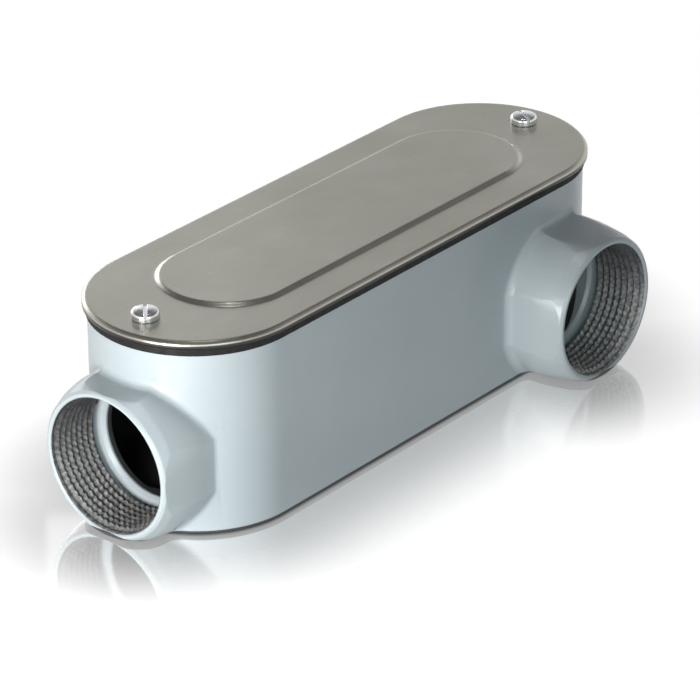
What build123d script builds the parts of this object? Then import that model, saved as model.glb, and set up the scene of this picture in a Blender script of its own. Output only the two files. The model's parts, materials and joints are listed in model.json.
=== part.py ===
from build123d import *
import os

# Conduit body of the LR kind, with its cover facing up: one hub on the near end, one on the right side.
# +X runs away from the end hub, -Y is the side hub's side, +Z is up, and the origin is the base's centre.
# Sizes are in millimetres.

# Casting
wall = 3.0
floor_thickness = 3.0
hub_headroom = 12.5
base_bevel = 1.0
inner_floor_bevel = 2.0

# Hubs: a round collar whose wrench flats lean out from the mouth until they meet the round
hub_wall = 1.6
hub_round_rise = 2.7
hub_flat_length = 38.0
hub_root_radius = 2.6
rim_rise = 0.3
rim_bevel = 0.8
nose_length = 4.0
end_hub_reach = 9.4
side_hub_reach = 19.5
side_hub_inset = 34.7

# Bores: thread wall, relief groove and bushing ring
thread_radius = 20.9
thread_lead_in = 0.4
thread_length = 17.4
relief_length = 1.6
relief_depth = 0.4
bushing_lip = 3.3
bushing_length = 3.4
bushing_bevel = 1.0

# Gasket
gasket_thickness = 2.5
gasket_inset = 0.9
gasket_band = 6.0
gasket_tab_land = 4.5

# Cover: a pressed plate with a raised panel
cover_length = 198.0
cover_width = 66.0
cover_overhang = 1.4
cover_thickness = 2.3
cover_edge_bevel = 0.9
panel_end_margin = 25.4
panel_side_margin = 12.05
panel_rise = 0.9
panel_slope = 1.2
panel_round = 0.6
panel_wall_inset = 1.0

# Cover screws and the bosses that take them
screw_inset = 11.0
screw_shank_radius = 2.05
screw_running_gap = 0.05
cover_hole_gap = 0.35
gasket_hole_gap = 0.45
screw_length = 13.0
screw_point = 0.8
screw_tip_room = 3.0
head_radius = 4.15
head_height = 3.0
head_bevel = 0.9
slot_width = 1.1
slot_depth = 1.4
near_slot_angle = 42.0
far_slot_angle = 61.0
boss_wall = 3.1

# Sizes and places that follow from these
hub_height = thread_radius + hub_wall
hub_round_radius = hub_height + hub_round_rise
rim_radius = hub_height + rim_rise
body_height = 2 * hub_height + hub_headroom
body_length = cover_length - 2 * cover_overhang
body_width = cover_width - 2 * cover_overhang
bushing_radius = thread_radius - bushing_lip
bushing_front = thread_length + relief_length
collar_depth = bushing_front + bushing_length
gasket_top = body_height + gasket_thickness
gasket_hole_radius = screw_shank_radius + gasket_hole_gap
cover_top = gasket_top + cover_thickness
cover_hole_radius = screw_shank_radius + cover_hole_gap
panel_length = cover_length - 2 * panel_end_margin
panel_width = cover_width - 2 * panel_side_margin
near_screw_x = screw_inset - cover_length / 2
far_screw_x = cover_length / 2 - screw_inset
screw_places = [(near_screw_x, 0), (far_screw_x, 0)]
screw_hole_radius = screw_shank_radius + screw_running_gap
screw_hole_depth = screw_length + screw_tip_room - cover_thickness - gasket_thickness
boss_radius = screw_hole_radius + boss_wall

# Each hub's plane lies in its mouth, and its Z axis runs into the body
end_mouth = Plane((-body_length / 2 - end_hub_reach, 0, hub_height), x_dir=(0, -1, 0), z_dir=(1, 0, 0))
side_mouth = Plane(
    (body_length / 2 - side_hub_inset, -body_width / 2 - side_hub_reach, hub_height),
    x_dir=(1, 0, 0),
    z_dir=(0, 1, 0),
)
mouths = [end_mouth, side_mouth]
hub_depths = [end_hub_reach + body_width / 2, side_hub_reach + body_width / 2]


def racetrack(height, length, width):
    """A round-ended outline at a height, centred on the body."""
    with BuildSketch(Plane.XY.offset(height)) as outline:
        SlotOverall(length, width)
    return outline.sketch


def collar(mouth, depth):
    """A hub's outside: a round collar cut back by four flats that lean out until they meet the round."""
    back_spread = hub_height + hub_round_rise * depth / hub_flat_length
    with BuildPart() as outside:
        with BuildSketch(mouth):
            Circle(hub_round_radius)
        extrude(amount=depth)
        with BuildSketch(mouth):
            Rectangle(2 * hub_height, 2 * hub_height)
        with BuildSketch(mouth.offset(depth)):
            Rectangle(2 * back_spread, 2 * back_spread)
        loft(ruled=True, mode=Mode.INTERSECT)
        split(bisect_by=Plane.XY, keep=Keep.TOP)
    return outside.part


def section_plane(mouth):
    """The half plane through a hub's axis: X is the radius and Y the depth from the mouth."""
    return Plane(mouth.origin, x_dir=mouth.x_dir, z_dir=mouth.x_dir.cross(mouth.z_dir))


def nose_cut(mouth):
    """What is taken off round a hub's mouth: it leaves a thin bevelled rim and a nose that slopes to the round."""
    with BuildPart() as ring:
        with BuildSketch(section_plane(mouth)):
            with BuildLine():
                Polyline(
                    (rim_radius - rim_bevel, 0),
                    (rim_radius, rim_bevel),
                    (hub_round_radius, nose_length),
                    (hub_round_radius + rim_bevel, nose_length),
                    (hub_round_radius + rim_bevel, 0),
                    close=True,
                )
            make_face()
        revolve(axis=Axis(mouth.origin, mouth.z_dir))
    return ring.part


def bore_cut(mouth, depth):
    """What is bored out of a hub: lead-in, thread wall, relief groove and the bushing's throat."""
    with BuildPart() as bore:
        with BuildSketch(section_plane(mouth)):
            with BuildLine():
                Polyline(
                    (0, 0),
                    (thread_radius + thread_lead_in, 0),
                    (thread_radius, thread_lead_in),
                    (thread_radius, thread_length),
                    (thread_radius + relief_depth, thread_length),
                    (thread_radius + relief_depth, bushing_front),
                    (bushing_radius + bushing_bevel, bushing_front),
                    (bushing_radius, bushing_front + bushing_bevel),
                    (bushing_radius, depth),
                    (0, depth),
                    close=True,
                )
            make_face()
        revolve(axis=Axis(mouth.origin, mouth.z_dir))
    return bore.part


# The space inside the casting: what a core leaves between the walls, the hubs' inner ends and the bosses
with BuildPart() as cavity:
    extrude(racetrack(floor_thickness, body_length - 2 * wall, body_width - 2 * wall), amount=body_height)
    chamfer(cavity.faces().sort_by(Axis.Z)[0].edges(), length=inner_floor_bevel)
    for mouth in mouths:
        add(collar(mouth, collar_depth), mode=Mode.SUBTRACT)
    with BuildSketch(Plane.XY):
        with Locations(*screw_places):
            Circle(boss_radius)
    extrude(amount=body_height + floor_thickness, mode=Mode.SUBTRACT)

# Casting: body, hubs and screw bosses in one piece
with BuildPart() as body:
    extrude(racetrack(0, body_length, body_width), amount=body_height)
    for mouth, depth in zip(mouths, hub_depths):
        add(collar(mouth, depth))
        base_edges = body.faces().sort_by(Axis.Z)[0].edges()
        new_edges = body.edges(Select.NEW).sort_by(Axis.X).sort_by(Axis.Y)
        fillet([edge for edge in new_edges if edge not in base_edges], radius=hub_root_radius)
    add(cavity.part, mode=Mode.SUBTRACT)
    for mouth, depth in zip(mouths, hub_depths):
        add(nose_cut(mouth), mode=Mode.SUBTRACT)
        add(bore_cut(mouth, depth), mode=Mode.SUBTRACT)
    with BuildSketch(Plane.XY.offset(body_height)):
        with Locations(*screw_places):
            Circle(screw_hole_radius)
    extrude(amount=-screw_hole_depth, mode=Mode.SUBTRACT)
    base_edges = body.faces().sort_by(Axis.Z)[0].edges()
    chamfer(base_edges.filter_by(lambda edge: edge.length > hub_height), length=base_bevel)

# Gasket: a flat ring with a tab round each screw
with BuildPart() as gasket:
    with BuildSketch(Plane.XY.offset(body_height)):
        SlotOverall(cover_length - 2 * gasket_inset, cover_width - 2 * gasket_inset)
        SlotOverall(
            cover_length - 2 * (gasket_inset + gasket_band),
            cover_width - 2 * (gasket_inset + gasket_band),
            mode=Mode.SUBTRACT,
        )
        with Locations(*screw_places):
            Circle(gasket_hole_radius + gasket_tab_land)
            Circle(gasket_hole_radius, mode=Mode.SUBTRACT)
    extrude(amount=gasket_thickness)

# Cover: the plate, its raised panel, and the hollow that pressing leaves under the panel
with BuildPart() as cover:
    extrude(racetrack(gasket_top, cover_length, cover_width), amount=cover_thickness)
    chamfer(cover.faces().sort_by(Axis.Z)[-1].edges(), length=cover_edge_bevel)
    loft(
        [
            racetrack(cover_top, panel_length, panel_width),
            racetrack(cover_top + panel_rise, panel_length - 2 * panel_slope, panel_width - 2 * panel_slope),
        ],
        ruled=True,
    )
    fillet(cover.faces().sort_by(Axis.Z)[-1].edges(), radius=panel_round)
    hollow_length = panel_length - 2 * panel_wall_inset
    hollow_width = panel_width - 2 * panel_wall_inset
    loft(
        [
            racetrack(gasket_top, hollow_length, hollow_width),
            racetrack(gasket_top + panel_rise, hollow_length - 2 * panel_slope, hollow_width - 2 * panel_slope),
        ],
        ruled=True,
        mode=Mode.SUBTRACT,
    )
    with BuildSketch(Plane.XY.offset(gasket_top)):
        with Locations(*screw_places):
            Circle(cover_hole_radius)
    extrude(amount=cover_thickness, mode=Mode.SUBTRACT)


def cover_screw(x, slot_angle):
    """A slotted pan head screw through the cover and gasket into its boss."""
    with BuildPart() as screw:
        with BuildSketch(Plane((x, 0, cover_top))):
            Circle(head_radius)
        extrude(amount=head_height)
        chamfer(screw.edges().sort_by(Axis.Z)[-1], length=head_bevel)
        with BuildSketch(Plane((x, 0, cover_top + head_height))):
            Rectangle(2 * head_radius, slot_width, rotation=slot_angle)
        extrude(amount=-slot_depth, mode=Mode.SUBTRACT)
        with BuildSketch(Plane((x, 0, cover_top))):
            Circle(screw_shank_radius)
        extrude(amount=-screw_length)
        chamfer(screw.edges().sort_by(Axis.Z)[0], length=screw_point)
    return screw


near_cover_screw = cover_screw(near_screw_x, near_slot_angle)
far_cover_screw = cover_screw(far_screw_x, far_slot_angle)

os.makedirs("parts", exist_ok=True)
body.part.label = "body"
gasket.part.label = "gasket"
cover.part.label = "cover"
near_cover_screw.part.label = "near_cover_screw"
far_cover_screw.part.label = "far_cover_screw"
export_step(body.part, "parts/body.step")
export_step(gasket.part, "parts/gasket.step")
export_step(cover.part, "parts/cover.step")
export_step(near_cover_screw.part, "parts/near_cover_screw.step")
export_step(far_cover_screw.part, "parts/far_cover_screw.step")
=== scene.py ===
import json
import math

import bmesh
import bpy
from mathutils import Matrix, Vector


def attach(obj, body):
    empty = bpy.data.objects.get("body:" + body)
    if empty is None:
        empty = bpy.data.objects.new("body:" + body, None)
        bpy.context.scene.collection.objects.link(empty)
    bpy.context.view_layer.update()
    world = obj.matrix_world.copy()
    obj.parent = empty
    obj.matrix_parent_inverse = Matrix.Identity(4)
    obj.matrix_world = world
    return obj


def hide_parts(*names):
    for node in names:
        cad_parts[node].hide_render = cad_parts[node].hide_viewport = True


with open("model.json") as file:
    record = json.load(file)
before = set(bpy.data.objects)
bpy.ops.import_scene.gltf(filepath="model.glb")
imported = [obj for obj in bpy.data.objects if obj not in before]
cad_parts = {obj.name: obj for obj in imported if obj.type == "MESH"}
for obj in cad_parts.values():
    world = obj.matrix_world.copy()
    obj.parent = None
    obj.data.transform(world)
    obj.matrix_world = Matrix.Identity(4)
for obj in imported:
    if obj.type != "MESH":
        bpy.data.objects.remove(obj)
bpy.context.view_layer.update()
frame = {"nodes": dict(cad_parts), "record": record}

# Lengths are in metres and angles in degrees
MM = 0.001

# Camera: the photograph's view of the body, whose base's centre is the origin
VIEW_AZIMUTH = -50.49
VIEW_ELEVATION = 26.72
VIEW_ROLL = -0.35
VIEW_DISTANCE = 1.25
VIEW_AIM = (0.00147, 0.01562)
VIEW_FOCAL_PIXELS = 4124.5
PHOTO_PIXELS = 700
SENSOR_WIDTH_MM = 36.0

# Pipe thread, 11.5 to the inch
THREAD_PITCH = 2.209 * MM
THREAD_HEIGHT = 1.25 * MM
THREAD_TAPER = 1 / 32
THREAD_FADE = 2.6 * MM
THREAD_EMBED = 0.05 * MM
THREAD_START = 0.4 * MM
THREAD_COLUMNS = 300
THREAD_CHATTER = 0.45
THREAD_MARKS = 60

# Cover screws, as the frame has them, with a rolled thread
COVER_TOP = 62.3 * MM
SCREW_X = 88 * MM
HEAD_RADIUS = 4.15 * MM
HEAD_HEIGHT = 3.0 * MM
HEAD_ROUND = 1.2 * MM
HEAD_FOOT = 0.2 * MM
HEAD_DOME = 0.35 * MM
HEAD_COLUMNS = 96
SLOT_WIDTH = 1.1 * MM
SLOT_DEPTH = 1.4 * MM
NEAR_SLOT_ANGLE = 42
FAR_SLOT_ANGLE = 61
SHANK_CREST = 2.04 * MM
SHANK_ROOT = 1.68 * MM
SHANK_LENGTH = 12.2 * MM
SHANK_FADE = 1.5
SHANK_POINT = 0.8 * MM
SHANK_PITCH = 0.8 * MM
SHANK_COLUMNS = 40

# How close points are joined, and how closely a cut follows its plane
MERGE_DISTANCE = 0.002 * MM
CUT_DISTANCE = 0.001 * MM

# The casting as the frame has it: a round-ended body and what is inside it. The enamel's painted shade
# falls in its cavity, its side hub's throat and a band along its base
BODY_CORE = 66 * MM
BODY_RADIUS = 31.6 * MM
BODY_FOOT = 30.6 * MM
ROOM_RADIUS = 29.5 * MM
ROOM_HALF_LENGTH = 86.4 * MM
ROOM_TOP = 57 * MM
THROAT_RADIUS = 18 * MM
THROAT_DEPTH = 1.5 * MM
BASE_SHADE_BAND = 1.5 * MM
SIDE_HUB_X = 62.9 * MM

# Each hub's outside, as the frame has it, and how finely it is cut to draw in its mouth
HUB_FLAT = 22.5 * MM
HUB_FLAT_LEAN = 2.7 / 38
HUB_ROUND = 25.2 * MM
HUB_RIM = 22.8 * MM
HUB_RIM_DEPTH = 0.8 * MM
HUB_NOSE = 4.0 * MM
HUB_ROOT = 3.3 * MM
HUB_REACH = 21 * MM
MOUTH_ROOM = 0.1 * MM
HUB_SKIN = (21.2 * MM, 26.5 * MM)
HUB_RINGS_MM = (1.6, 2.8, 4.2, 5.6, 7, 8.5, 10, 12, 14, 16)
HUB_COLUMNS = 120
HUB_DRAW = 0.8
ROOT_STEP = 0.5
ROOT_SEARCH = 0.1 * MM

# Painted light and shade on each hub's thread, from the end hub to the side hub: how much darker or lighter
# its uncoated metal is coloured than plain cut metal
THREAD_PAINTED_LIGHT = (0.65, 1.4)

# How far round the object the floor mirrors it, and how wide its painted contact shadow is
MIRROR_START = 2 * MM
MIRROR_END = 50 * MM
HUB_FOOT = 17 * MM
CONTACT_WIDTH = 1.6 * MM
FLOOR_DROP = 0.02 * MM

# The white sweep's top and the dark ceiling's start, as elevations, and how bright gloss sees the ceiling
SWEEP_TOP = 14.0
CEILING_START = 42.0
CEILING_GLOSS = 0.16


def add_object(name, mesh):
    """A new object in the scene around a mesh."""
    made = bpy.data.objects.new(name, mesh)
    bpy.context.scene.collection.objects.link(made)
    return made


def mesh_from(name, vertices, faces):
    """A tidy mesh with outward normals from lists of points and faces."""
    mesh = bpy.data.meshes.new(name)
    mesh.from_pydata(vertices, [], faces)
    shape = bmesh.new()
    shape.from_mesh(mesh)
    bmesh.ops.remove_doubles(shape, verts=shape.verts, dist=MERGE_DISTANCE)
    bmesh.ops.recalc_face_normals(shape, faces=shape.faces)
    shape.to_mesh(mesh)
    shape.free()
    return mesh


def smooth_shading(mesh, sharp_angle):
    """Smooth shading with the folds over an angle kept sharp."""
    shape = bmesh.new()
    shape.from_mesh(mesh)
    for face in shape.faces:
        face.smooth = True
    for edge in shape.edges:
        edge.smooth = len(edge.link_faces) == 2 and edge.calc_face_angle() < math.radians(sharp_angle)
    shape.to_mesh(mesh)
    shape.free()


# Materials


class Paint:
    """A material with its shader, and short ways to add nodes to it."""

    def __init__(self, name):
        self.material = bpy.data.materials.new(name)
        self.material.use_nodes = True
        self.tree = self.material.node_tree
        self.shader = self.tree.nodes["Principled BSDF"]
        self.output = self.tree.nodes["Material Output"]
        self.coordinates = self.tree.nodes.new("ShaderNodeTexCoord").outputs["Object"]

    def node(self, kind, **inputs):
        """A node of a kind, with input names written with underscores, set or linked."""
        made = self.tree.nodes.new(kind)
        for name, value in inputs.items():
            socket = made.inputs[name.replace("_", " ")]
            if isinstance(value, bpy.types.NodeSocket):
                self.tree.links.new(value, socket)
            else:
                socket.default_value = value
        return made

    def stretched(self, factors):
        """The object's coordinates, scaled along each axis."""
        mapping = self.node("ShaderNodeMapping", Vector=self.coordinates)
        mapping.inputs["Scale"].default_value = factors
        return mapping.outputs["Vector"]

    def noise(self, feature, detail=2.0, roughness=0.5, where=None):
        """Noise from 0 to 1 whose features have about the given size in metres."""
        made = self.node(
            "ShaderNodeTexNoise",
            Vector=where or self.coordinates,
            Scale=1 / feature,
            Detail=detail,
            Roughness=roughness,
        )
        return made.outputs["Fac"]

    def spread(self, value, low, high, start=0.3, end=0.7):
        """A value's range from start to end, mapped to low to high."""
        made = self.node("ShaderNodeMapRange", Value=value)
        made.inputs["From Min"].default_value = start
        made.inputs["From Max"].default_value = end
        made.inputs["To Min"].default_value = low
        made.inputs["To Max"].default_value = high
        return made.outputs["Result"]

    def mix(self, factor, first, second):
        """The colour between two colours, given by a factor."""
        made = self.tree.nodes.new("ShaderNodeMix")
        made.data_type = "RGBA"
        self.tree.links.new(factor, made.inputs["Factor"])
        for socket, value in ((made.inputs[6], first), (made.inputs[7], second)):
            if isinstance(value, bpy.types.NodeSocket):
                self.tree.links.new(value, socket)
            else:
                socket.default_value = (*value, 1)
        return made.outputs[2]

    def relief(self, edge_radius, *layers):
        """Softened edges, and layers of relief, each a height from 0 to 1 and its depth in metres."""
        edges = self.node("ShaderNodeBevel", Radius=edge_radius)
        edges.samples = 8
        normal = edges.outputs["Normal"]
        for height, depth in layers:
            bump = self.node("ShaderNodeBump", Height=height, Distance=depth, Normal=normal)
            normal = bump.outputs["Normal"]
        self.tree.links.new(normal, self.shader.inputs["Normal"])

    def math(self, operation, *values):
        """The result of a sum on values or sockets."""
        made = self.tree.nodes.new("ShaderNodeMath")
        made.operation = operation
        for socket, value in zip(made.inputs, values):
            if isinstance(value, bpy.types.NodeSocket):
                self.tree.links.new(value, socket)
            else:
                socket.default_value = value
        return made.outputs[0]

    def axes(self):
        """The object's coordinates, one by one."""
        split = self.node("ShaderNodeSeparateXYZ", Vector=self.coordinates)
        return split.outputs

    def capsule(self, start, end, radius):
        """The distance outside a round-ended bar that lies on the floor from start to end."""
        x, y, _ = self.axes()
        run = Vector(end) - Vector(start)
        along = self.math("MULTIPLY", self.math("SUBTRACT", x, start[0]), run.x / run.length_squared)
        across = self.math("MULTIPLY", self.math("SUBTRACT", y, start[1]), run.y / run.length_squared)
        share = self.math("MINIMUM", self.math("MAXIMUM", self.math("ADD", along, across), 0), 1)
        near_x = self.math("MULTIPLY_ADD", share, run.x, start[0])
        near_y = self.math("MULTIPLY_ADD", share, run.y, start[1])
        gap_x = self.math("POWER", self.math("SUBTRACT", x, near_x), 2)
        gap_y = self.math("POWER", self.math("SUBTRACT", y, near_y), 2)
        return self.math("SUBTRACT", self.math("SQRT", self.math("ADD", gap_x, gap_y)), radius)

    def set(self, **inputs):
        """Sets or links the shader's inputs, their names written with underscores."""
        for name, value in inputs.items():
            socket = self.shader.inputs[name.replace("_", " ")]
            if isinstance(value, bpy.types.NodeSocket):
                self.tree.links.new(value, socket)
            else:
                socket.default_value = value


def enamel():
    """Light grey enamel with a faint blue tint, and painted shade: near black in the cavity, in the side
    hub's throat and along the base.
    """
    paint = Paint("enamel")
    tone = paint.spread(paint.noise(60 * MM, detail=3), 0, 1)
    grey = paint.mix(tone, (0.39, 0.45, 0.48), (0.44, 0.495, 0.52))
    specks = paint.spread(paint.noise(1.4 * MM, detail=4, roughness=0.7), 0, 1, 0.60, 0.78)
    coated = paint.mix(specks, grey, (0.37, 0.42, 0.43))
    x, _, z = paint.axes()
    shell = paint.capsule((-BODY_CORE, 0), (BODY_CORE, 0), ROOM_RADIUS)
    in_length = paint.math("LESS_THAN", paint.math("ABSOLUTE", x), ROOM_HALF_LENGTH)
    room = paint.math("MULTIPLY", in_length, paint.math("LESS_THAN", shell, 0))
    off_side_axis = paint.math("ABSOLUTE", paint.math("SUBTRACT", x, SIDE_HUB_X))
    in_bore = paint.math("LESS_THAN", off_side_axis, THROAT_RADIUS)
    throat = paint.math("MULTIPLY", in_bore, paint.math("LESS_THAN", shell, THROAT_DEPTH))
    under_lid = paint.math("LESS_THAN", z, ROOM_TOP)
    inside = paint.math("MULTIPLY", paint.math("MAXIMUM", room, throat), under_lid)
    # Painted shade: the enamel turns near black in the cavity under the lid, in the side hub's throat and
    # in a band along the base.
    painted_shade = paint.math("MAXIMUM", inside, paint.math("LESS_THAN", z, BASE_SHADE_BAND))
    paint.set(
        Base_Color=paint.mix(painted_shade, coated, (0.05, 0.052, 0.055)),
        Roughness=paint.spread(paint.noise(9 * MM, detail=3), 0.32, 0.42),
        Coat_Weight=0.25,
        Coat_Roughness=0.22,
    )
    paint.relief(
        0.6 * MM,
        (paint.noise(14 * MM, detail=2), 0.10 * MM),
        (paint.noise(1.1 * MM, detail=3), 0.018 * MM),
    )
    return paint.material


def satin_metal():
    """The pressed cover's warm grey metal, with a faint rolled grain along its length, and painted shade
    that turns its edge below the top near black.
    """
    paint = Paint("satin_metal")
    grain_room = paint.stretched((0.06, 1, 1))
    grain = paint.noise(0.5 * MM, detail=4, roughness=0.65, where=grain_room)
    cloud = paint.spread(paint.noise(34 * MM, detail=5, roughness=0.6), 0, 1)
    tone = paint.mix(cloud, (0.365, 0.355, 0.30), (0.50, 0.49, 0.435))
    _, _, z = paint.axes()
    plate = paint.mix(paint.spread(grain, 0, 1), tone, (0.47, 0.46, 0.41))
    paint.set(
        # Painted shade: below its top the cover's edge is near black.
        Base_Color=paint.mix(paint.spread(z, 0, 1, 61.3 * MM, 60.9 * MM), plate, (0.06, 0.058, 0.055)),
        Metallic=1.0,
        Roughness=paint.spread(grain, 0.27, 0.36),
    )
    paint.relief(
        1.0 * MM,
        (paint.noise(30 * MM, detail=2), 0.12 * MM),
        (grain, 0.006 * MM),
    )
    return paint.material


def black_rubber():
    """Black sheet rubber with a fine matt grain."""
    paint = Paint("black_rubber")
    dust = paint.spread(paint.noise(3 * MM, detail=5, roughness=0.7), 0, 1, 0.5, 0.8)
    paint.set(
        Base_Color=paint.mix(dust, (0.008, 0.008, 0.009), (0.02, 0.02, 0.022)),
        Roughness=paint.spread(paint.noise(2 * MM, detail=3), 0.6, 0.8),
        Specular_IOR_Level=0.25,
    )
    paint.relief(0.3 * MM, (paint.noise(0.4 * MM, detail=3), 0.02 * MM))
    return paint.material


def bright_zinc():
    """The screws' bright zinc plate, a little cloudy."""
    paint = Paint("bright_zinc")
    cloud = paint.spread(paint.noise(1.6 * MM, detail=4, roughness=0.6), 0, 1)
    paint.set(
        Base_Color=paint.mix(cloud, (0.66, 0.68, 0.72), (0.80, 0.80, 0.79)),
        Metallic=1.0,
        Roughness=paint.spread(paint.noise(0.8 * MM, detail=3), 0.16, 0.30),
    )
    paint.relief(0.25 * MM, (paint.noise(0.5 * MM, detail=3), 0.012 * MM))
    return paint.material


def cut_metal(name, level):
    """A cut pipe thread's uncoated metal, its colour scaled by a level of painted light and shade, darker
    towards the top of the bore and lighter towards the bottom, with the tap's marks across the crests.
    """
    paint = Paint(name)
    marks = paint.noise(0.35 * MM, detail=4, roughness=0.7)
    chatter = paint.spread(paint.noise(1.1 * MM, detail=1), 0, 1, 0.42, 0.58)
    _, _, z = paint.axes()
    # Painted light and shade: the thread's colour is darker towards the top of the bore and lighter towards
    # the bottom.
    low = paint.spread(z, 0, 1, 34 * MM, 6 * MM)

    def tone(color):
        return [level * share for share in color]

    painted_shade_top = paint.mix(chatter, tone((0.035, 0.035, 0.04)), tone((0.065, 0.065, 0.073)))
    bright = paint.mix(chatter, tone((0.17, 0.175, 0.175)), tone((0.34, 0.345, 0.34)))
    paint.set(
        Base_Color=paint.mix(low, painted_shade_top, bright),
        Metallic=paint.spread(marks, 0.1, 0.3),
        Roughness=paint.spread(marks, 0.45, 0.6),
    )
    paint.relief(0.1 * MM, (chatter, 0.05 * MM), (marks, 0.01 * MM))
    return paint.material


def dress_node(name, material):
    """Gives a node of the frame its finish."""
    node = frame["nodes"][name]
    node.data.materials.clear()
    node.data.materials.append(material)


# Casting


class Hub:
    """A hub's place: depths run in from its mouth, and angles round its axis."""

    def __init__(self, mount):
        self.inward = -Vector(mount["axis"])
        self.mouth = Vector(mount["pos_m"]) - self.inward * (mount["dims"]["length_mm"] * MM / 2)
        self.mouth -= self.inward * THREAD_START
        self.across = self.inward.cross(Vector((0, 0, 1)))

    def spin(self, angle):
        """The direction out from the axis at an angle."""
        return self.across * math.cos(angle) + Vector((0, 0, 1)) * math.sin(angle)

    def polar(self, point):
        """A point's depth, radius and angle."""
        offset = point - self.mouth
        flat_across = offset.dot(self.across)
        return offset.dot(self.inward), math.hypot(flat_across, offset.z), math.atan2(offset.z, flat_across)

    def outside(self, angle, depth):
        """The frame's radius at an angle and depth: the least of its nose, round and flats."""
        turn = (angle + math.pi / 4) % (math.pi / 2) - math.pi / 4
        share = (depth - HUB_RIM_DEPTH) / (HUB_NOSE - HUB_RIM_DEPTH)
        nose = HUB_RIM + (HUB_ROUND - HUB_RIM) * max(share, 0)
        flat = (HUB_FLAT + HUB_FLAT_LEAN * depth) / math.cos(turn)
        return min(nose, HUB_ROUND, flat)

    def root(self, angle):
        """The depth at an angle where the hub starts to blend into the body."""
        start = self.mouth + self.spin(angle) * HUB_ROUND
        depth = 0
        while depth < HUB_REACH + HUB_ROOT:
            point = start + self.inward * depth
            if math.hypot(max(abs(point.x) - BODY_CORE, 0), point.y) < BODY_RADIUS:
                break
            depth += ROOT_SEARCH
        return depth - HUB_ROOT

    def drawn_in(self, angle, depth, root):
        """The radius there once the hub runs straight from its round mouth to its root."""
        share = math.sin((depth - HUB_RIM_DEPTH) / (root - HUB_RIM_DEPTH) * math.pi / 2)
        straight = self.outside(angle, HUB_RIM_DEPTH) * (1 - share) + self.outside(angle, root) * share
        return straight * HUB_DRAW + self.outside(angle, depth) * (1 - HUB_DRAW)


def hub_skin(shape, hub):
    """The faces of a hub's outside."""
    found = []
    for face in shape.faces:
        places = [hub.polar(vertex.co) for vertex in face.verts]
        shallow = all(-MOUTH_ROOM < depth < HUB_REACH for depth, _, _ in places)
        if shallow and all(HUB_SKIN[0] < radius < HUB_SKIN[1] for _, radius, _ in places):
            found.append(face)
    return found


def cut_hub(shape, hub, point, normal):
    """Adds edges to a hub's outside where a plane crosses it."""
    faces = hub_skin(shape, hub)
    edges = list({edge for face in faces for edge in face.edges})
    corners = list({corner for face in faces for corner in face.verts})
    bmesh.ops.bisect_plane(
        shape,
        geom=faces + edges + corners,
        dist=CUT_DISTANCE,
        plane_co=point,
        plane_no=normal,
    )


def draw_in(shape, hub):
    """Moves a hub's outside in to the straight run from its round rim to its root."""
    roots = {}
    for corner in {corner for face in hub_skin(shape, hub) for corner in face.verts}:
        depth, radius, angle = hub.polar(corner.co)
        step = round(math.degrees(angle) / ROOT_STEP)
        if step not in roots:
            roots[step] = hub.root(math.radians(step * ROOT_STEP))
        if HUB_RIM_DEPTH < depth < roots[step]:
            reach = radius * hub.drawn_in(angle, depth, roots[step]) / hub.outside(angle, depth)
            corner.co = hub.mouth + hub.inward * depth + hub.spin(angle) * reach


def cast_body(name, node):
    """The casting in the frame's form, its hubs finely cut and drawn in to their round mouths."""
    mesh = node.data.copy()
    mesh.name = name
    mesh.transform(node.matrix_world)
    shape = bmesh.new()
    shape.from_mesh(mesh)
    bmesh.ops.remove_doubles(shape, verts=shape.verts, dist=MERGE_DISTANCE)
    for mount in threaded_mounts():
        hub = Hub(mount)
        for depth in HUB_RINGS_MM:
            cut_hub(shape, hub, hub.mouth + hub.inward * (depth * MM), hub.inward)
        for column in range(HUB_COLUMNS // 2):
            cut_hub(shape, hub, hub.mouth, hub.spin(math.pi * 2 * column / HUB_COLUMNS))
        draw_in(shape, hub)
    for corner in shape.verts:
        corner.co.z = max(corner.co.z, 0)
    bmesh.ops.recalc_face_normals(shape, faces=shape.faces)
    shape.to_mesh(mesh)
    shape.free()
    mesh.materials.clear()
    smooth_shading(mesh, 9)
    return add_object(name, mesh)


# Pipe threads


def threaded_mounts():
    """The record's mounts that take a pipe."""
    return [mount for mount in frame["record"]["mounts"] if mount["kind"] == "threaded_hole"]


def thread_profile():
    """One pitch of a thread with rounded crests and roots: shares of the pitch and of the height."""
    rise = [(0.0, 0.0), (0.05, 0.06), (0.25, 0.5), (0.44, 0.95), (0.5, 1.0)]
    fall = [(0.56, 0.95), (0.75, 0.5), (0.95, 0.06)]
    return rise + fall


def ridged_tube(place, columns, length, pitch, reach):
    """The vertices and faces of helical ridges, whose radius reach gives at a turn, depth and height."""
    turns = math.ceil(length / pitch) + 1
    rows = [(turn + share, height) for turn in range(-1, turns) for share, height in thread_profile()]
    vertices = []
    for share, height in rows:
        for column in range(columns):
            depth = pitch * (share + column / columns)
            held = min(max(depth, 0), length)
            ridge = height if held == depth else 0
            vertices.append(place(column / columns, held, reach(column / columns, held, ridge)))
    faces = []
    for row in range(len(rows) - 1):
        for column in range(columns - 1):
            low = row * columns + column
            faces.append((low, low + 1, low + 1 + columns, low + columns))
    step = len(thread_profile())
    for row in range(len(rows) - 1 - step):
        low = (row + step) * columns
        last = row * columns + columns - 1
        faces.append((last, low, low + columns, last + columns))
    return vertices, faces


def turned(place, columns, outline, vertices, faces):
    """Adds the rings that an outline of depths and radii gives when it is turned."""
    for (depth, reach), (next_depth, next_reach) in zip(outline, outline[1:]):
        start = len(vertices)
        for column in range(columns):
            vertices.append(place(column / columns, depth, reach))
            vertices.append(place(column / columns, next_depth, next_reach))
        for column in range(columns):
            low = start + 2 * column
            high = start + 2 * ((column + 1) % columns)
            faces.append((low, low + 1, high + 1, high))


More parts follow.
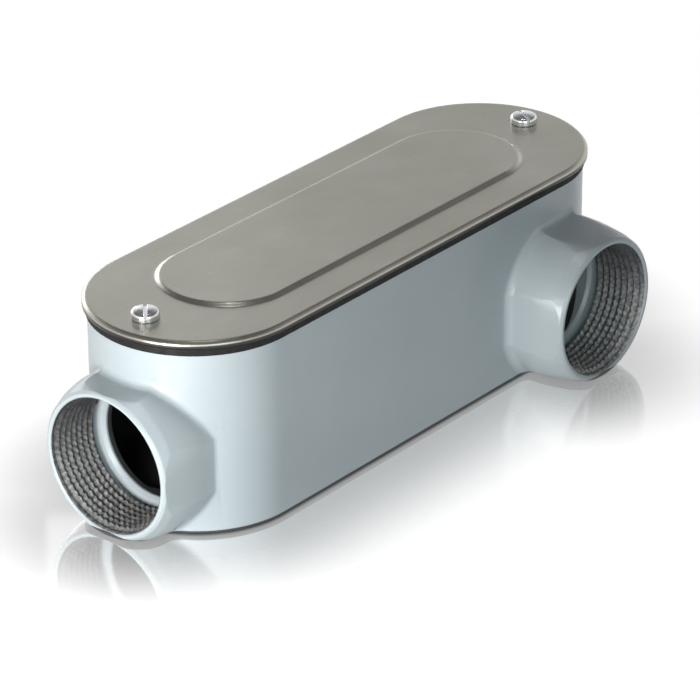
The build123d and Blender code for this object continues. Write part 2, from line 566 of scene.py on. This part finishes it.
def thread_sleeve(name, mount):
    """The pipe thread that stands in from a hub's bore, as a closed sleeve in its wall."""
    hub = Hub(mount)
    radius = mount["dims"]["r_mm"] * MM
    length = mount["dims"]["length_mm"] * MM
    mouth = hub.mouth + hub.inward * THREAD_START

    def place(turn, depth, reach):
        return mouth + hub.inward * depth + hub.spin(2 * math.pi * turn) * reach

    def reach(turn, depth, height):
        angle = 2 * math.pi * turn
        low = min(max(0.5 - 1.5 * math.sin(angle), 0), 1)
        marks = 0.5 + 0.5 * math.cos(THREAD_MARKS * angle)
        fade = min(1, depth / THREAD_FADE) * (1 - THREAD_CHATTER * low * marks)
        return radius - depth * THREAD_TAPER - THREAD_HEIGHT * height * fade

    vertices, faces = ridged_tube(place, THREAD_COLUMNS, length, THREAD_PITCH, reach)
    wall = radius + THREAD_EMBED
    outline = [(0, radius), (0, wall), (length, wall), (length, reach(0, length, 0))]
    turned(place, THREAD_COLUMNS, outline, vertices, faces)
    mesh = mesh_from(name, vertices, faces)
    smooth_shading(mesh, 35)
    return add_object(name, mesh)


# Cover screws


def cut_slot(mesh, angle):
    """Cuts a screw head's slot at an angle, with its floor."""
    tool = bpy.data.meshes.new("slot_tool")
    shape = bmesh.new()
    bmesh.ops.create_cube(shape, size=1)
    room = Matrix.Diagonal((4 * HEAD_RADIUS, SLOT_WIDTH, 2 * SLOT_DEPTH, 1))
    lift = Matrix.Translation((0, 0, HEAD_HEIGHT))
    turn = Matrix.Rotation(math.radians(angle), 4, "Z")
    bmesh.ops.transform(shape, matrix=lift @ turn @ room, verts=shape.verts)
    shape.to_mesh(tool)
    shape.free()
    whole = add_object("whole", mesh)
    cutter = add_object("cutter", tool)
    change = whole.modifiers.new("slot", "BOOLEAN")
    change.operation = "DIFFERENCE"
    change.object = cutter
    change.solver = "EXACT"
    seen = bpy.context.evaluated_depsgraph_get()
    result = bpy.data.meshes.new_from_object(whole.evaluated_get(seen))
    bpy.data.objects.remove(whole)
    bpy.data.objects.remove(cutter)
    return result


def cover_screw(name, x, slot_angle):
    """A slotted pan head screw with a rolled thread, in the frame's place and size."""

    def place(turn, depth, reach):
        angle = 2 * math.pi * turn
        return Vector((reach * math.cos(angle), reach * math.sin(angle), -depth))

    flat = HEAD_RADIUS - HEAD_ROUND
    crown = [(flat * a / 6, HEAD_HEIGHT - HEAD_DOME * (a / 6) ** 2) for a in range(1, 6)]
    for a in range(9):
        turn = a * math.pi / 16
        drop = HEAD_DOME + HEAD_ROUND * (1 - math.cos(turn))
        crown.append((flat + HEAD_ROUND * math.sin(turn), HEAD_HEIGHT - drop))
    outline = [(-HEAD_HEIGHT, 0)] + [(-z, r) for r, z in crown]
    outline += [(-HEAD_FOOT, HEAD_RADIUS), (0, HEAD_RADIUS - HEAD_FOOT), (0, 0)]
    vertices, faces = [], []
    turned(place, HEAD_COLUMNS, outline, vertices, faces)
    head = cut_slot(mesh_from(name + "_head", vertices, faces), slot_angle)

    def reach(turn, depth, height):
        fade = min(1, depth / (SHANK_FADE * SHANK_PITCH), (SHANK_LENGTH - depth) / SHANK_PITCH)
        return SHANK_ROOT + (SHANK_CREST - SHANK_ROOT) * height * max(fade, 0)

    vertices, faces = ridged_tube(place, SHANK_COLUMNS, SHANK_LENGTH, SHANK_PITCH, reach)
    point = [(SHANK_LENGTH, SHANK_ROOT), (SHANK_LENGTH + SHANK_POINT, SHANK_ROOT - SHANK_POINT)]
    turned(place, SHANK_COLUMNS, point + [(SHANK_LENGTH + SHANK_POINT, 0)], vertices, faces)
    turned(place, SHANK_COLUMNS, [(0, SHANK_ROOT), (0, 0)], vertices, faces)
    shank = mesh_from(name + "_shank", vertices, faces)
    shape = bmesh.new()
    shape.from_mesh(head)
    shape.from_mesh(shank)
    mesh = bpy.data.meshes.new(name)
    shape.to_mesh(mesh)
    shape.free()
    smooth_shading(mesh, 30)
    mesh.transform(Matrix.Translation((x, 0, COVER_TOP)))
    return add_object(name, mesh)


# Stage: camera, floor and lights


def add_camera():
    """The photograph's camera."""
    azimuth = math.radians(VIEW_AZIMUTH)
    elevation = math.radians(VIEW_ELEVATION)
    roll = math.radians(VIEW_ROLL)
    level_right = Vector((math.cos(azimuth), math.sin(azimuth), 0))
    back = Vector((
        math.sin(azimuth) * math.cos(elevation),
        -math.cos(azimuth) * math.cos(elevation),
        math.sin(elevation),
    ))
    level_up = back.cross(level_right)
    right = level_right * math.cos(roll) + level_up * math.sin(roll)
    up = level_up * math.cos(roll) - level_right * math.sin(roll)
    data = bpy.data.cameras.new("camera")
    data.sensor_width = SENSOR_WIDTH_MM
    data.lens = VIEW_FOCAL_PIXELS / PHOTO_PIXELS * SENSOR_WIDTH_MM
    data.clip_end = 20
    camera = add_object("camera", data)
    place = right * VIEW_AIM[0] + up * VIEW_AIM[1] + back * VIEW_DISTANCE
    turn = Matrix((right, up, back)).transposed().to_4x4()
    camera.matrix_world = Matrix.Translation(place) @ turn
    bpy.context.scene.camera = camera


def seen_directly(tree):
    """1 for rays that show a background: from the camera, from gloss and through glass."""
    path = tree.nodes.new("ShaderNodeLightPath")
    total = path.outputs["Is Camera Ray"]
    for name in ("Is Glossy Ray", "Is Transmission Ray"):
        either = tree.nodes.new("ShaderNodeMath")
        either.operation = "MAXIMUM"
        tree.links.new(total, either.inputs[0])
        tree.links.new(path.outputs[name], either.inputs[1])
        total = either.outputs[0]
    return total


def add_world(horizon, ceiling):
    """Soft light from a white sweep that darkens overhead, with levels at the horizon and overhead."""
    world = bpy.data.worlds.new("world")
    world.use_nodes = True
    tree = world.node_tree
    background = tree.nodes["Background"]
    direction = tree.nodes.new("ShaderNodeTexCoord").outputs["Generated"]
    height = tree.nodes.new("ShaderNodeSeparateXYZ")
    tree.links.new(direction, height.inputs["Vector"])
    fall = tree.nodes.new("ShaderNodeMapRange")
    fall.interpolation_type = "SMOOTHSTEP"
    fall.inputs["From Min"].default_value = math.sin(math.radians(SWEEP_TOP))
    fall.inputs["From Max"].default_value = math.sin(math.radians(CEILING_START))
    tree.links.new(height.outputs["Z"], fall.inputs["Value"])
    levels = []
    for low, high in ((horizon, ceiling), (1, CEILING_GLOSS)):
        level = tree.nodes.new("ShaderNodeMapRange")
        level.inputs["To Min"].default_value = low
        level.inputs["To Max"].default_value = high
        tree.links.new(fall.outputs["Result"], level.inputs["Value"])
        levels.append(level.outputs["Result"])
    strength = tree.nodes.new("ShaderNodeMix")
    tree.links.new(seen_directly(tree), strength.inputs["Factor"])
    tree.links.new(levels[0], strength.inputs[2])
    tree.links.new(levels[1], strength.inputs[3])
    tree.links.new(strength.outputs[0], background.inputs["Strength"])
    background.inputs["Color"].default_value = (1, 1, 1, 1)
    bpy.context.scene.world = world


def add_floor(size, mirror, glow):
    """A white floor that mirrors the object near its footprint, with a painted shadow along the body's
    footprint, where its glow fades out.
    """
    shape = bmesh.new()
    bmesh.ops.create_grid(shape, x_segments=24, y_segments=24, size=size / 2)
    mesh = bpy.data.meshes.new("floor")
    shape.to_mesh(mesh)
    shape.free()
    floor = add_object("floor", mesh)
    floor.location.z = -FLOOR_DROP
    paint = Paint("floor_white")
    tree = paint.tree
    tree.nodes.remove(paint.shader)
    body = paint.capsule((-BODY_CORE, 0), (BODY_CORE, 0), BODY_FOOT)
    end_hub = paint.capsule((-80 * MM, 0), (-90 * MM, 0), HUB_FOOT)
    side_hub = paint.capsule((SIDE_HUB_X, -20 * MM), (SIDE_HUB_X, -34 * MM), HUB_FOOT)
    gap = paint.math("MINIMUM", paint.math("MINIMUM", body, end_hub), side_hub)
    reflecting = paint.node("ShaderNodeMapRange", Value=gap)
    reflecting.interpolation_type = "SMOOTHSTEP"
    reflecting.inputs["From Min"].default_value = MIRROR_START
    reflecting.inputs["From Max"].default_value = MIRROR_END
    reflecting.inputs["To Min"].default_value = mirror
    reflecting.inputs["To Max"].default_value = 0
    matt = paint.node("ShaderNodeBsdfDiffuse", Color=(0.4, 0.4, 0.4, 1))
    gloss = paint.node("ShaderNodeBsdfGlossy", Roughness=0.06)
    # Painted shadow: the floor's glow fades out within a thin band round the body's footprint.
    painted_contact_shadow = paint.spread(body, 0, 1, 0, CONTACT_WIDTH)
    level = paint.math("MULTIPLY", paint.math("MULTIPLY", seen_directly(tree), glow), painted_contact_shadow)
    lift = paint.node("ShaderNodeEmission", Strength=level)
    both = tree.nodes.new("ShaderNodeAddShader")
    tree.links.new(matt.outputs[0], both.inputs[0])
    tree.links.new(lift.outputs[0], both.inputs[1])
    surface = tree.nodes.new("ShaderNodeMixShader")
    tree.links.new(reflecting.outputs[0], surface.inputs["Fac"])
    tree.links.new(both.outputs[0], surface.inputs[1])
    tree.links.new(gloss.outputs[0], surface.inputs[2])
    tree.links.new(surface.outputs[0], paint.output.inputs["Surface"])
    mesh.materials.append(paint.material)


def add_softbox(name, place, target, size, level, color=(1, 1, 1)):
    """A square lamp that faces a target and lights a facing surface there at a plain level."""
    data = bpy.data.lights.new(name, "AREA")
    data.shape = "RECTANGLE"
    data.size, data.size_y = size
    data.color = color
    away = Vector(place) - Vector(target)
    data.energy = level * (math.pi * away.length) ** 2
    lamp = add_object(name, data)
    lamp.location = place
    lamp.rotation_euler = away.to_track_quat("Z", "Y").to_euler()


def add_lamps():
    """The near end's key light, a weak fill from the camera's side, and light from above and behind."""
    key_tint = (1, 0.985, 0.965)
    fill_tint = (0.86, 0.98, 1)
    add_softbox("end_light", (-0.32, -0.065, 0.05), (-0.1, 0, 0.03), (0.14, 0.14), 2.0, key_tint)
    add_softbox("side_light", (-0.4, -0.64, 0.15), (-0.03, -0.03, 0.03), (0.4, 0.4), 0.26, fill_tint)
    add_softbox("top_light", (0, 0, 1.2), (0, 0, 0), (0.12, 0.12), 0.06)
    add_softbox("cover_light", (0.225, 0.28, 0.29), (-0.09, 0, 0.06), (0.1, 0.1), 0.006)
    add_softbox("back_light", (0.6, 1.7, 0.25), (0, 0, 0.03), (1.2, 0.9), 0.30)


def build():
    """Dresses the frame, adds the looks' own pieces and sets the stage."""
    casting = cast_body("casting", frame["nodes"]["body"])
    casting.data.materials.append(enamel())
    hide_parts("body")
    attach(casting, "casting")
    dress_node("gasket", black_rubber())
    dress_node("cover", satin_metal())
    zinc = bright_zinc()
    for end, x, angle in (("near", -SCREW_X, NEAR_SLOT_ANGLE), ("far", SCREW_X, FAR_SLOT_ANGLE)):
        screw = cover_screw(end + "_screw_detail", x, angle)
        screw.data.materials.append(zinc)
        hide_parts(end + "_cover_screw")
        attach(screw, end + "_screw")
    # Each hub's thread gets its own level of painted light and shade.
    for mount, level in zip(threaded_mounts(), THREAD_PAINTED_LIGHT):
        sleeve = thread_sleeve(mount["name"] + "_thread", mount)
        sleeve.data.materials.append(cut_metal(mount["name"] + "_metal", level))
        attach(sleeve, "casting")
    add_camera()
    add_world(0.27, 0.05)
    add_floor(6.0, 0.70, 0.93)
    add_lamps()
    bpy.context.scene.view_settings.view_transform = "Standard"


build()
